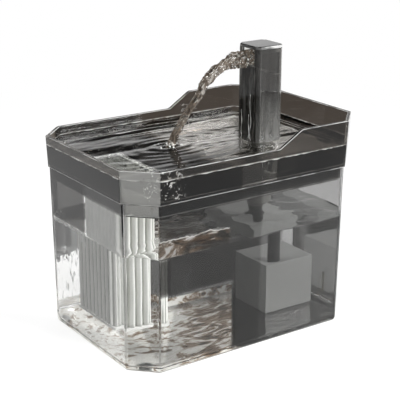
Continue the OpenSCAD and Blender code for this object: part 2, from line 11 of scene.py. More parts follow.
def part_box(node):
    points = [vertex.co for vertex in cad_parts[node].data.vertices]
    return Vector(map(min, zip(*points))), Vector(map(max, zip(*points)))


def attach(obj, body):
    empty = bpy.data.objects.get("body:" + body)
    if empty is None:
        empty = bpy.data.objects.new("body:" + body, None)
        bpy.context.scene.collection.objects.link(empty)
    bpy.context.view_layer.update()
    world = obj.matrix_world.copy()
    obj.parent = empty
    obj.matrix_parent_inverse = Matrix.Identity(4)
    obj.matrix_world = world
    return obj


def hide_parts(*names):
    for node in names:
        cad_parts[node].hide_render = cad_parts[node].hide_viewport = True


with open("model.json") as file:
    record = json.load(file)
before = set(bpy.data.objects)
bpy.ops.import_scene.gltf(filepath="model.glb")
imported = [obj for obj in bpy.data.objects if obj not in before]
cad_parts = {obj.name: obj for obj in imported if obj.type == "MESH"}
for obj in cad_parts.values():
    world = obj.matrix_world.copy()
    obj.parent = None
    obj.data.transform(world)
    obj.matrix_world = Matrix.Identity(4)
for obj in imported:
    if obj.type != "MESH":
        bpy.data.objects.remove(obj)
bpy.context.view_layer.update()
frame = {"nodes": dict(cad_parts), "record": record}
nodes = frame["nodes"]
scene = bpy.context.scene
MM = 0.001

# ---- Places taken from the frame ----

tank_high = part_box("tank")[1]
tower_low, tower_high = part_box("tower_column")
riser_low, riser_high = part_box("riser_pipe")
filter_low, filter_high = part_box("pleated_media")
sponge_low, sponge_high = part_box("intake_sponge")
riser_x = (riser_low.x + riser_high.x) / 2

PLEAT_PITCH = 4.8 * MM
PLEAT_DEPTH = 3 * MM
TANK_FLOOR = 4 * MM            # top of the tank's floor
TANK_WATER = 82 * MM           # water level in the tank
TRAY_FLOOR = 113 * MM          # top of the tray's floor
TRAY_LEDGE = 122.4 * MM        # step above the tray's skirt
TRAY_WATER = 136.4 * MM        # water level in the tray
SOAK = 0.3 * MM                # how far water reaches into the plastic, so no air film shows
JET_LANDS = Vector((-24.8 * MM, 0, TRAY_WATER))
X, Y, Z = Vector((1, 0, 0)), Vector((0, 1, 0)), Vector((0, 0, 1))
LEFT, FRONT = -X, -Y


# ---- What builds shaders ----

class Shader:
    """The nodes of a material or of the world. A share is a node or socket from 0 to 1."""

    def __init__(self, owner):
        owner.use_nodes = True
        self.tree = owner.node_tree
        self.tree.nodes.clear()
        self.place = None

    def add(self, kind, inputs=None, **settings):
        """A node with its inputs set or, where they are nodes or sockets, linked. A node
        stands for its first output."""
        made = self.tree.nodes.new(kind)
        for key, value in settings.items():
            setattr(made, key, value)
        for key, value in (inputs or {}).items():
            if isinstance(value, (bpy.types.Node, bpy.types.NodeSocket)):
                self.link(value, made, key)
            else:
                made.inputs[key].default_value = value
        return made

    def link(self, source, target, key):
        if isinstance(source, bpy.types.Node):
            source = source.outputs[0]
        self.tree.links.new(source, target.inputs[key])

    def maths(self, operation, *terms):
        return self.add("ShaderNodeMath", dict(enumerate(terms)), operation=operation)

    def vector(self, operation, *terms):
        return self.add("ShaderNodeVectorMath", dict(enumerate(terms)), operation=operation)

    def all_of(self, first, *others):
        for share in others:
            first = self.maths("MULTIPLY", first, share)
        return first

    def either(self, first, *others):
        for share in others:
            first = self.maths("MAXIMUM", first, share)
        return first

    def rest_of(self, share):
        """What the share leaves of 1."""
        return self.maths("SUBTRACT", 1.0, share)

    def most_of(self, *weighted):
        """The greatest of some shares, each times its weight."""
        return self.either(*(self.maths("MULTIPLY", share, weight) for share, weight in weighted))

    def moved(self, level, *moves):
        """The level, moved by an amount where that amount's share is 1."""
        for share, amount in moves:
            level = self.maths("MULTIPLY_ADD", share, amount, level)
        return level

    def ranged(self, value, low, high, to_low=0.0, to_high=1.0, kind="LINEAR"):
        """From to_low to to_high as the value goes from low to high."""
        return self.add("ShaderNodeMapRange", {
            "Value": value, "From Min": low, "From Max": high, "To Min": to_low, "To Max": to_high,
        }, interpolation_type=kind)

    def step(self, value, low, high):
        """A share that rises softly as the value goes from low to high."""
        return self.ranged(value, low, high, kind="SMOOTHSTEP")

    def spot(self):
        """The place on the piece, in metres."""
        if self.place is None:
            self.place = self.add("ShaderNodeTexCoord").outputs["Object"]
        return self.place

    def stretched(self, scale):
        """The place on the piece, in metres times scale."""
        return self.add("ShaderNodeMapping", {"Vector": self.spot(), "Scale": scale})

    def raised(self, pattern, least, most, low=0.0, high=1.0):
        """The place on the piece, raised from least to most as the pattern goes from low to high."""
        shift = self.add("ShaderNodeCombineXYZ", {"Z": self.ranged(pattern, low, high, least, most)})
        return self.vector("ADD", self.spot(), shift)

    def along(self, source, way, low, high):
        """A share that rises as the source's part along way goes from low to high."""
        return self.step(self.vector("DOT_PRODUCT", source, way).outputs["Value"], low, high)

    def past(self, way, least, soft=1 * MM, place=None):
        """A share that rises as the place along way goes from least to soft beyond it."""
        return self.along(place or self.spot(), way, least, least + soft)

    def short(self, way, most, soft=1 * MM, place=None):
        """A share that rises as the place along way goes from most to soft short of it."""
        return self.past(-way, -most, soft, place)

    def patches(self, scale, stretch=(1, 1, 1), detail=2.0, roughness=0.5, distortion=0.0):
        """Soft noise on the piece, with about scale patches to the stretched metre."""
        return self.add("ShaderNodeTexNoise", {
            "Vector": self.stretched(stretch), "Scale": scale, "Detail": detail,
            "Roughness": roughness, "Distortion": distortion,
        })

    def coloured(self, share, *stops):
        """A colour from share by stops of (share, colour)."""
        ramp = self.add("ShaderNodeValToRGB", {"Fac": share})
        elements = ramp.color_ramp.elements
        while len(elements) < len(stops):
            elements.new(0.5)
        for element, (position, colour) in zip(elements, stops):
            element.position = position
            element.color = (*colour, 1)
        return ramp

    def bump(self, height, depth):
        return self.add("ShaderNodeBump", {"Strength": 1.0, "Distance": depth, "Height": height})

    def rays(self, *kinds):
        """1 for rays of these kinds."""
        path = self.add("ShaderNodeLightPath")
        return self.either(*(path.outputs[f"Is {kind} Ray"] for kind in kinds))

    def mixed(self, share, first, second):
        """The first shader where share is 0 and the second where it is 1."""
        return self.add("ShaderNodeMixShader", {0: share, 1: first, 2: second})


MATERIALS = {}


def new_material(name):
    """The shader of a new material, which MATERIALS holds by its name."""
    MATERIALS[name] = bpy.data.materials.new(name)
    return Shader(MATERIALS[name])


# ---- Camera, backdrop and lamps ----

CAMERA_AT = Vector((-446.1, -643.6, 355.4)) * MM
CAMERA_AZIMUTH = math.radians(34.74)
CAMERA_DOWN = math.radians(18.62)
CAMERA_ROLL = math.radians(-0.27)
CAMERA_LENS = 102.79           # millimetres, on a 36 mm sensor


def make_camera():
    right = Vector((math.cos(CAMERA_AZIMUTH), -math.sin(CAMERA_AZIMUTH), 0))
    ahead = Z.cross(right) * math.cos(CAMERA_DOWN) - Z * math.sin(CAMERA_DOWN)
    up = right.cross(ahead)
    turn = Matrix.Rotation(CAMERA_ROLL, 3, ahead)
    right, up = turn @ right, turn @ up
    data = bpy.data.cameras.new("camera")
    data.lens, data.sensor_width = CAMERA_LENS, 36
    data.clip_start, data.clip_end = 0.01, 50
    camera = bpy.data.objects.new("camera", data)
    axes = Matrix((right, up, -ahead)).transposed()
    camera.matrix_world = Matrix.Translation(CAMERA_AT) @ axes.to_4x4()
    scene.collection.objects.link(camera)
    scene.camera = camera


AMBIENT = 0.09                 # strength of the light from all round
CEILING_FROM = 0.16            # sine of the elevation where the white backdrop ends
CEILING_TO = 0.36              # and where the dark ceiling is reached
CEILING_LEVEL = 0.04
SEEN_BY = ("Camera", "Glossy", "Transmission")      # the rays that show the backdrop


def make_world():
    scene.world = bpy.data.worlds.new("studio")
    shader = Shader(scene.world)
    way = shader.add("ShaderNodeTexCoord").outputs["Generated"]
    height = shader.add("ShaderNodeSeparateXYZ", {0: way}).outputs["Z"]
    level = shader.ranged(height, CEILING_FROM, CEILING_TO, 1.0, CEILING_LEVEL, "SMOOTHSTEP")
    ambient = shader.add("ShaderNodeBackground", {"Color": (0.95, 0.97, 1.0, 1), "Strength": AMBIENT})
    backdrop = shader.add("ShaderNodeBackground", {"Color": level})
    shader.add("ShaderNodeOutputWorld", {"Surface": shader.mixed(shader.rays(*SEEN_BY), ambient, backdrop)})


FLOOR_DROP = 0.2 * MM          # how far the floor lies under the feet
FLOOR_COLOUR = 0.38
FLOOR_GLOW = 0.68              # lifts the lit floor to white where rays show the backdrop
BACKDROP_FROM = 0.22           # distance from the middle, in metres, where the floor starts to
BACKDROP_TO = 0.75             # turn into the white backdrop, and where it has


def make_floor():
    bpy.ops.mesh.primitive_plane_add(size=8, location=(0, 0, -FLOOR_DROP))
    floor = bpy.context.object
    floor.name = "floor"
    shader = new_material("floor")
    seen = shader.rays(*SEEN_BY)
    grain = shader.add("ShaderNodeTexNoise", {"Scale": 40.0, "Detail": 3.0})
    grey = shader.ranged(grain, 0.0, 1.0, FLOOR_COLOUR, FLOOR_COLOUR + 0.02)
    matt = shader.add("ShaderNodeBsdfDiffuse", {"Color": grey})
    level = shader.maths("MULTIPLY", seen, FLOOR_GLOW)
    glow = shader.add("ShaderNodeEmission", {"Strength": level})
    lit = shader.add("ShaderNodeAddShader", {0: matt, 1: glow})
    white = shader.add("ShaderNodeEmission")
    away = shader.vector("LENGTH", shader.spot()).outputs["Value"]
    far = shader.step(away, BACKDROP_FROM, BACKDROP_TO)
    shader.add("ShaderNodeOutputMaterial", {"Surface": shader.mixed(shader.all_of(far, seen), lit, white)})
    floor.data.materials.append(MATERIALS["floor"])


def area_lamp(name, at, aim, size, power):
    data = bpy.data.lights.new(name, "AREA")
    data.shape = "RECTANGLE"
    data.size, data.size_y = size
    data.energy = power
    lamp = bpy.data.objects.new(name, data)
    lamp.location = at
    lamp.rotation_mode = "QUATERNION"
    lamp.rotation_quaternion = (Vector(aim) - Vector(at)).to_track_quat("-Z", "Y")
    scene.collection.objects.link(lamp)


def make_lamps():
    middle = (0, 0, 0.08)
    area_lamp("key", (0.80, -1.30, 0.80), middle, (0.8, 0.6), 36)
    area_lamp("top", (-0.1, 0.30, 1.5), middle, (0.7, 0.5), 17)


# ---- How the clear parts differ from place to place ----
#
# The photo was cut out of a darker studio, so what its clear walls refract isn't there. Each
# stretch of a wall gets the tint, haze or opening that it shows in the photo instead. A limit
# is a distance from the part's middle, or a height, and the named wall lies beyond it.
# Paler tints laid on a wall are painted light and darker tints are painted shade, and so is the pale layer
# on the tray's bevel.

FACET_WAY = Vector((-math.sqrt(0.5), -math.sqrt(0.5), 0))
FACET_FROM = 90 * MM           # the bevel by the filter lies beyond this along that way


def facet_share(shader):
    """1 on the bevel by the filter."""
    normal = shader.add("ShaderNodeNewGeometry").outputs["True Normal"]
    turned = shader.along(shader.vector("ABSOLUTE", normal), -FACET_WAY, 0.9, 0.97)
    return shader.all_of(turned, shader.past(FACET_WAY, FACET_FROM, 2 * MM))


TRAY_FRONT = 60 * MM           # the tray's front wall
TRAY_REAR = 58 * MM            # its rear wall
TRAY_END = 84 * MM             # its end wall by the filter
TRAY_LOW = 116 * MM            # its floor lies below this
TRAY_DARK_TO = -8 * MM         # painted shade: its floor and rear wall are darkest from the left end to here
TRAY_PALE_FROM = -14 * MM      # painted light: its floor is pale from here to the tower's end
SIGHT_FROM, SIGHT_TO = -14 * MM, 17 * MM     # a paler tint, painted light, lets the tower show through this stretch in front
SPRAY_FROM = 56 * MM           # specks of foam cling to the front from here to the bevel
WATERLINE_HIGHLIGHT_LOW, WATERLINE_HIGHLIGHT_TOP = TRAY_WATER + 0.7 * MM, TRAY_WATER + 1.0 * MM    # a broken pale line, a painted highlight at the waterline broken up like foam
WATERLINE_HIGHLIGHT_REACH = 0.9 * MM          # and how far it reaches down from its lower edge where it is thickest
# share of the painted highlight line at the waterline and of the foam specks
FOAM_AND_HIGHLIGHT_SHARE = 0.75
# share of the matt layer on the tray's bevel, which is painted light
BEVEL_PAINTED_LIGHT = 0.34


def tray_smoke_and_painted_light(shader):
    """How dark the tray's tint is: 0.8 as a rule, its smoky plastic. Paler tints, painted light, give
    0 on its bevel, 0.3 on the floor at the tower's end and where the tower shows through, and 0.5
    above the water in front; a darker tint, painted shade, gives 1 on the left of its floor and rear
    wall and on the front below the water."""
    past, short, all_of = shader.past, shader.short, shader.all_of
    front = past(FRONT, TRAY_FRONT)
    near = shader.either(front, past(LEFT, TRAY_END))
    low = short(Z, TRAY_LOW, 0.5 * MM)
    wet = short(Z, TRAY_WATER, 0.3 * MM)
    far = shader.either(past(Y, TRAY_REAR, 2 * MM), low)
    dark = shader.either(all_of(far, short(X, TRAY_DARK_TO, 6 * MM)), all_of(near, wet))
    dry = all_of(near, past(Z, TRAY_WATER, 0.3 * MM))
    sight = all_of(front, past(X, SIGHT_FROM, 2 * MM), short(X, SIGHT_TO), wet)
    bottom = all_of(past(X, TRAY_PALE_FROM, 14 * MM), low)
    return shader.moved(0.8, (dark, 0.2), (dry, -0.3), (sight, -0.7), (bottom, -0.5),
                        (facet_share(shader), -1.0))


def tray_foam_and_painted_light(shader):
    """Share, colour and thinness of the pale matt layer on the tray's bevel, which is painted light,
    of the broken pale line where the water meets its wall, a painted highlight broken up like
    foam, and of the specks of foam by the bevel."""
    past, short, all_of = shader.past, shader.short, shader.all_of
    breaks = shader.patches(130, (1, 1, 0.6), detail=3, roughness=0.7)
    broken = shader.raised(breaks, 0.0, WATERLINE_HIGHLIGHT_REACH, 0.4, 0.75)
    line = all_of(past(Z, WATERLINE_HIGHLIGHT_LOW, 0.1 * MM, broken), short(Z, WATERLINE_HIGHLIGHT_TOP, 0.2 * MM))
    specks = shader.step(shader.patches(300, distortion=1.2), 0.60, 0.63)
    spray = all_of(specks, past(FRONT, TRAY_FRONT), past(LEFT, SPRAY_FROM, 12 * MM), past(Z, TRAY_LEDGE))
    facet = facet_share(shader)
    level = shader.moved(breaks, (facet, 0.2))
    colour = shader.coloured(level, (0.4, (0.55, 0.53, 0.50)), (0.6, (0.95, 0.95, 0.93)))
    return shader.most_of((shader.either(line, spray), FOAM_AND_HIGHLIGHT_SHARE), (facet, BEVEL_PAINTED_LIGHT)), colour, 0.5


TANK_FRONT = 62 * MM           # the tank's front wall
TANK_REAR = 62 * MM            # its rear wall
TANK_END = 84 * MM             # its end walls
FRONT_FROM = 55 * MM           # the front wall with the strip of floor beside it
FRONT_OUT = 65.6 * MM          # the outer face of the front wall
REAR_OUT = 64.6 * MM           # the outer face of the rear wall
PALE_WAY = Vector((-1, 0.5, 0))              # towards the filter's end, which gets a pale tint, painted light
PALE_FROM, PALE_TOP = 40 * MM, 112 * MM      # from here along that way and up to here
PALE_FRONT = -52 * MM          # the pale end stops here, short of the front wall
BAND_TO, BAND_TOP = -17 * MM, 57 * MM        # the pale band of painted light at the foot of the front wall
DEEP_FROM, DEEP_TO = -24 * MM, 74 * MM       # the darkest stretch of the rear wall, painted shade
DEEP_REAR = 40 * MM            # and of the floor in front of it
CORNER_FROM = 1 * MM           # the left end wall is dark behind this, painted shade
CORNER_LOW = 2.8 * MM          # and from here over the water
OVER_FROM, OVER_LOW = 40 * MM, 50 * MM       # the dark stretch of painted shade over the opening in the rear wall
STRIP_FROM = 68 * MM           # the dark strip of painted shade on the front wall by the bevel
TANK_FOOT = 2.6 * MM           # painted shade: the lower edge is darker below this
SHADE_TO = 7 * MM              # the front wall is a little darker, painted shade, from the left end to here, by this share of the way to the darkest
SHADE_DEPTH = 0.45             # by this share of the way to the darkest


def tank_smoke_and_painted_light(shader):
    """How dark the tank's tint is: 0.5 as a rule, its smoky plastic; 0 where a paler tint
    paints light and 1 where the darkest tint paints shade.
    """
    past, short, all_of = shader.past, shader.short, shader.all_of
    facet = facet_share(shader)
    front, rear = past(FRONT, FRONT_FROM, 4 * MM), past(Y, TANK_REAR)
    under = short(Z, TANK_WATER)
    end = all_of(past(PALE_WAY, PALE_FROM, 4 * MM), short(Z, PALE_TOP), past(Y, PALE_FRONT, 2 * MM))
    band = all_of(short(X, BAND_TO, 1.5 * MM), short(Z, BAND_TOP, 1.5 * MM), front)
    right = past(X, TANK_END, 3 * MM)
    air = all_of(rear, past(Z, TANK_WATER + 1 * MM, 2 * MM))
    deep = all_of(past(Y, DEEP_REAR, 20 * MM), past(X, DEEP_FROM, 12 * MM), short(X, DEEP_TO, 8 * MM),
                  short(Z, TANK_WATER + 1 * MM, 2 * MM))
    corner = all_of(past(LEFT, TANK_END), past(Y, CORNER_FROM), past(Z, TANK_WATER + CORNER_LOW, 0.4 * MM))
    over = all_of(rear, past(LEFT, OVER_FROM, 6 * MM), past(Z, OVER_LOW, 3 * MM), under)
    strip = all_of(past(FRONT, TANK_FRONT), past(LEFT, STRIP_FROM), past(Z, BAND_TOP, 2 * MM), under,
                   shader.rest_of(facet))
    foot = short(Z, TANK_FOOT, 0.3 * MM)
    shade = shader.maths("MULTIPLY", all_of(front, short(X, SHADE_TO, 3 * MM)), SHADE_DEPTH)
    pale = shader.either(facet, end, band, right, air)
    dark = shader.either(deep, corner, over, strip, foot)
    less = all_of(pale, shader.rest_of(dark))
    more = shader.either(dark, all_of(shade, shader.rest_of(pale)))
    return shader.moved(0.5, (less, -0.5), (more, 0.5))


BED_TOP = 2 * MM               # the underside of the tank's floor lies below this
BED_WAY = Vector((-1, 0.459, 0))             # away from the pump case's mirror image in it
BED_FROM = -14 * MM            # it carries a pattern of light from here along that way
BED_LIGHT_FROM, BED_LIGHT_TO = 14 * MM, 46 * MM      # the pattern brightens between these
BED_LIGHT = 0.085              # by this much
BED_RISE = 12 * MM             # the rear wall carries it too, up to here
BED_RISE_FROM = -20 * MM       # and from here to the right
WAVE_FROM, WAVE_TO = -82 * MM, -21 * MM      # the front wall carries the light off the waves
WAVE_LOW, WAVE_TOP = 83.5 * MM, 96 * MM      # between these heights
WAVE_SWING = 4 * MM            # how far its upper edge wanders up and down
WAVE_DIM = 0.115               # how much less light it has than the pattern on the floor
CREST_LIGHT = 0.25             # how much more light its upper edge has
CREST_DEPTH = 1 * MM           # how deep that edge is
BED_SHARE, WAVE_SHARE, CREST_SHARE = 0.85, 0.30, 0.50


def tank_painted_light(shader):
    """Share, colour and thinness of the light that the water casts on the tank's floor and on
    its front wall."""
    past, short, all_of = shader.past, shader.short, shader.all_of
    rear = all_of(past(Y, TANK_REAR), short(Z, BED_RISE), past(X, BED_RISE_FROM, 4 * MM))
    bed = all_of(shader.either(short(Z, BED_TOP, 0.3 * MM), rear), past(BED_WAY, BED_FROM, 2 * MM))
    wander = shader.patches(75, (1, 1, 0.2), detail=4, roughness=0.7)
    wavy = shader.raised(wander, -WAVE_SWING, WAVE_SWING)
    wet = all_of(past(FRONT, FRONT_OUT, 0.2 * MM), past(X, WAVE_FROM, 2 * MM), short(X, WAVE_TO, 2 * MM),
                 short(Z, WAVE_TOP, 0.3 * MM, wavy), past(Z, WAVE_LOW, 0.5 * MM))
    crest = all_of(wet, past(Z, WAVE_TOP - CREST_DEPTH, 0.5 * MM, wavy))
    light = shader.along(shader.spot(), BED_WAY, BED_LIGHT_FROM, BED_LIGHT_TO)
    streaks = shader.patches(88, (0.55, 0.9, 1), detail=4, roughness=0.62, distortion=1.8)
    level = shader.moved(streaks, (light, BED_LIGHT), (wet, -WAVE_DIM), (crest, CREST_LIGHT))
    colour = shader.coloured(level, (0.38, (0.03, 0.025, 0.02)), (0.46, (0.22, 0.14, 0.085)),
                             (0.52, (0.42, 0.34, 0.27)), (0.57, (0.97, 0.96, 0.93)))
    return shader.most_of((bed, BED_SHARE), (wet, WAVE_SHARE), (crest, CREST_SHARE)), colour, 0.0


OPEN_FROM, OPEN_TO = -72 * MM, -14 * MM      # the opened stretch of the rear wall
OPEN_LOW, OPEN_TOP = 9 * MM, 46 * MM
OPEN_SWING = 9 * MM            # how far its upper edge wanders up and down


def tank_open(shader):
    """Where the rear wall lets the white backdrop show towards the filter's end."""
    past, short = shader.past, shader.short
    wavy = shader.raised(shader.patches(110), -OPEN_SWING, OPEN_SWING)
    streaks = shader.step(shader.patches(120, (1, 1, 0.5), distortion=1.6), 0.28, 0.5)
    return shader.all_of(past(Y, REAR_OUT, 0.2 * MM), past(X, OPEN_FROM, 2 * MM), short(X, OPEN_TO, 2 * MM),
                         past(Z, OPEN_LOW, 2 * MM), short(Z, OPEN_TOP, 1 * MM, wavy), streaks)


TOWER_SIDE = 1.9 * MM          # the wall towards the jet lies within this of the tower's left face
STROKES_TO = 42 * MM           # dark strokes of painted shade run down the tower from its left face to here
HAZE_FROM, HAZE_OVER = 178 * MM, 50 * MM     # its haze thickens from this height down over this
HAZE_LEAST, HAZE_MORE = 0.07, 0.36
# the dark strokes on the wall towards the jet are painted shade
STROKE_SHARE, STROKE_DIM = 0.5, 0.27
CLOUD_SHARE, CLOUD_LIGHT = 0.45, 0.3


def tower_smoke_and_painted_shade(shader):
    """Which tint the tower has: 0 as a rule, 0.5 on the wall towards the jet, a darker tint that is
    painted shade, and 1 on the clear spigot below the tray."""
    side = shader.short(X, tower_low.x + TOWER_SIDE, 0.3 * MM)
    return shader.most_of((side, 0.5), (shader.short(Z, TRAY_FLOOR), 1.0))


def tower_haze_and_painted_shade(shader):
    """Share, colour and thinness of the haze that thickens down the tower, of the dark strokes
    of painted shade on its wall towards the jet, and of the cloud in its spigot."""
    column, spigot = shader.past(Z, TRAY_FLOOR), shader.short(Z, TRAY_FLOOR)
    jet_side = shader.all_of(shader.short(X, STROKES_TO, 0.5 * MM), column)
    low = shader.all_of(shader.short(Z, HAZE_FROM, HAZE_OVER), column)
    haze = shader.all_of(shader.moved(HAZE_LEAST, (low, HAZE_MORE)), shader.rest_of(jet_side))
    runs = shader.patches(220, (1, 1, 0.12), detail=3, roughness=0.6)
    level = shader.moved(runs, (spigot, CLOUD_LIGHT), (jet_side, -STROKE_DIM))
    colour = shader.coloured(level, (0.22, (0.012, 0.011, 0.01)), (0.30, (0.12, 0.115, 0.105)),
                             (0.35, (0.16, 0.16, 0.155)), (0.65, (0.38, 0.38, 0.37)),
                             (0.85, (0.55, 0.55, 0.54)))
    share = shader.most_of((haze, 1.0), (spigot, CLOUD_SHARE), (jet_side, STROKE_SHARE))
    return share, colour, 0.0


# share of the jet's dark strokes, which are painted shade
JET_PAINTED_SHADE_STROKES = 0.85


def jet_painted_shade(shader):
    """Share, colour and thinness of the dark strokes of painted shade that run down the jet."""
    runs = shader.patches(330, (0.6, 1, 0.3), detail=3, roughness=0.6, distortion=0.6)
    colour = shader.coloured(runs, (0.36, (0.05, 0.042, 0.035)), (0.50, (0.30, 0.24, 0.19)))
    strokes = shader.rest_of(shader.step(runs, 0.44, 0.50))
    return shader.maths("MULTIPLY", strokes, JET_PAINTED_SHADE_STROKES), colour, 0.3


# ---- Materials ----

PLASTIC_IOR = 1.49
WATER_IOR = 1.333
TANK_TINT = (0.33, 0.328, 0.325)     # what one wall lets through, as a rule
TRAY_TINT = (0.065, 0.054, 0.045)
TOWER_TINT = (0.16, 0.153, 0.145)
DARK_SHADE = (0.92, 0.92, 0.91)      # what lamps pass on through a wall of the darker pieces
PALE_SHADE = (0.95, 0.95, 0.94)      # and of the paler ones
WATER_BODY = {"absorb": (0.6, 0.72, 0.70), "density": 0.4}
WHITE = (1, 1, 1)


def uneven(shader, size, height, top):
    """A normal that ripples, as in uneven moulding, on what lies below top."""
    ripple = shader.patches(1 / size, (0.55, 1, 1), detail=1.5, roughness=0.6)
    return shader.bump(shader.all_of(ripple, shader.short(Z, top, 0.5 * MM)), height)


def clear(name, tint, ior, gloss, shade, absorb=None, density=0.0, smoke_and_painted_light=None, pebbles=None, film=None,
          window=None):
    """A clear material. tint is what one wall lets through, or smoke_and_painted_light gives it as a
    share by a function and the stops of its colours, with painted light and painted shade from
    place to place. gloss is the share of its reflections that is kept.
    shade is what lamps pass on to what is inside. absorb and density darken long paths.
    pebbles are the size, height and top of an uneven floor. film gives the share, colour and
    thinness of a matt layer on the surface, which carries foam, haze, painted light and painted
    shade, and window the share of the surface that lets light straight through."""
    shader = new_material(name)
    surface = shader.add("ShaderNodeBsdfPrincipled", {
        "Base Color": (*tint, 1), "IOR": ior, "Transmission Weight": 1.0, "Roughness": 0.0,
        "Specular Tint": (gloss, gloss, gloss, 1),
    })
    see = shader.add("ShaderNodeBsdfTransparent", {"Color": (*shade, 1)})
    if smoke_and_painted_light:
        share, *stops = smoke_and_painted_light
        shader.link(shader.coloured(share(shader), *stops), surface, "Base Color")
    if pebbles:
        shader.link(uneven(shader, *pebbles), surface, "Normal")
    if window:
        surface = shader.mixed(window(shader), surface, see)
    if film:
        share, colour, thin = film(shader)
        matt = shader.add("ShaderNodeBsdfDiffuse", {"Color": colour})
        through = shader.add("ShaderNodeBsdfTranslucent", {"Color": colour})
        surface = shader.mixed(share, surface, shader.mixed(thin, matt, through))
    ends = {"Surface": shader.mixed(shader.rays("Shadow", "Diffuse"), surface, see)}
    if density:
        body = {"Color": (*absorb, 1), "Density": density}
        ends["Volume"] = shader.add("ShaderNodeVolumeAbsorption", body)
    shader.add("ShaderNodeOutputMaterial", ends)


def solid(name, dark, light, roughness, patch, grain, depth, metallic=0.0, specular=0.5, cells=False,
          stretch=(1, 1, 1), painted_shade=None):
    """An opaque material: its colour drifts from dark to light in patches of size patch, and
    grain of that size and depth roughens it, all in millimetres. painted_shade gives a colour
    of painted shade to multiply it by."""
    shader = new_material(name)
    where = shader.stretched(stretch)
    drift = shader.add("ShaderNodeTexNoise", {
        "Vector": where, "Scale": 1 / (patch * MM), "Detail": 4.0, "Roughness": 0.6,
    })
    if cells:
        fine = shader.add("ShaderNodeTexVoronoi", {"Vector": where, "Scale": 1 / (grain * MM)})
    else:
        fine = shader.add("ShaderNodeTexNoise", {"Vector": where, "Scale": 1 / (grain * MM), "Detail": 3.0})
    colour = shader.coloured(drift, (0.3, dark), (0.7, light))
    if painted_shade:
        colour = shader.vector("MULTIPLY", colour, painted_shade(shader))
    face = shader.add("ShaderNodeBsdfPrincipled", {
        "Base Color": colour, "Metallic": metallic, "Specular IOR Level": specular,
        "Roughness": shader.ranged(drift, 0.0, 1.0, *roughness), "Normal": shader.bump(fine, depth * MM),
    })
    shader.add("ShaderNodeOutputMaterial", {"Surface": face})


def folds(shader):
    """Painted shade: darker towards the bottom of the fleece's folds."""
    middle, half = (filter_low + filter_high) / 2, (filter_high - filter_low) / 2
    away = shader.vector("ABSOLUTE", shader.vector("SUBTRACT", shader.spot(), middle))
    inset = shader.add("ShaderNodeSeparateXYZ", {0: shader.vector("SUBTRACT", away, half)})
    depth = shader.either(inset.outputs["X"], inset.outputs["Y"])
    share = shader.ranged(depth, -PLEAT_DEPTH, -0.25 * PLEAT_DEPTH)
    return shader.coloured(share, (0.0, (0.22, 0.225, 0.21)), (0.30, (0.62, 0.625, 0.60)), (0.62, (1, 1, 1)))


def painted_edge_highlight(name, colour):
    """Painted highlight on the rounded edge of a clear moulding: a whitish, partly clear finish in
    patches that reads as a bright line.
    """
    shader = new_material(name)
    patchy_highlight = shader.coloured(shader.patches(60), (0.40, [0.25 * part for part in colour]), (0.48, colour))
    face = shader.add("ShaderNodeBsdfPrincipled", {
        "Base Color": patchy_highlight, "IOR": PLASTIC_IOR, "Transmission Weight": 0.35, "Roughness": 0.25,
    })
    shader.add("ShaderNodeOutputMaterial", {"Surface": face})


def make_clear_materials():
    # Beside each wall's own smoky tint, the paler and darker stops below are painted light and painted
    # shade, all but the tower's clear spigot.
    clear("tank_plastic", TANK_TINT, PLASTIC_IOR, 0.5, PALE_SHADE,
          smoke_and_painted_light=(tank_smoke_and_painted_light, (0.0, (0.94, 0.94, 0.94)), (0.5, TANK_TINT), (1.0, (0.075, 0.073, 0.07))),
          pebbles=(7 * MM, 0.9 * MM, 2 * MM), film=tank_painted_light, window=tank_open)
    clear("tray_plastic", TRAY_TINT, PLASTIC_IOR, 0.45, DARK_SHADE,
          smoke_and_painted_light=(tray_smoke_and_painted_light, (0.0, (0.55, 0.54, 0.53)), (0.3, (0.44, 0.425, 0.40)),
                 (0.5, (0.19, 0.17, 0.15)), (0.8, TRAY_TINT), (1.0, (0.03, 0.028, 0.025))),
          film=tray_foam_and_painted_light)
    clear("tower_plastic", TOWER_TINT, PLASTIC_IOR, 0.6, DARK_SHADE,
          smoke_and_painted_light=(tower_smoke_and_painted_shade, (0.0, TOWER_TINT), (0.5, (0.06, 0.055, 0.05)), (1.0, (0.62, 0.62, 0.61))),
          film=tower_haze_and_painted_shade)
    clear("cap_plastic", (0.05, 0.048, 0.045), PLASTIC_IOR, 0.8, DARK_SHADE)
    clear("smoky_plastic", (0.60, 0.60, 0.59), PLASTIC_IOR, 1.0, PALE_SHADE)
    painted_edge_highlight("painted_edge_highlight", (0.92, 0.92, 0.91))
    clear("water", WHITE, WATER_IOR, 1.0, WHITE, **WATER_BODY)
    clear("dull_water", WHITE, WATER_IOR, 0.55, WHITE, **WATER_BODY)
    # The jet's brown-grey tint is painted shade.
    clear("jet_water", (0.48, 0.45, 0.41), WATER_IOR, 1.0, WHITE, film=jet_painted_shade)


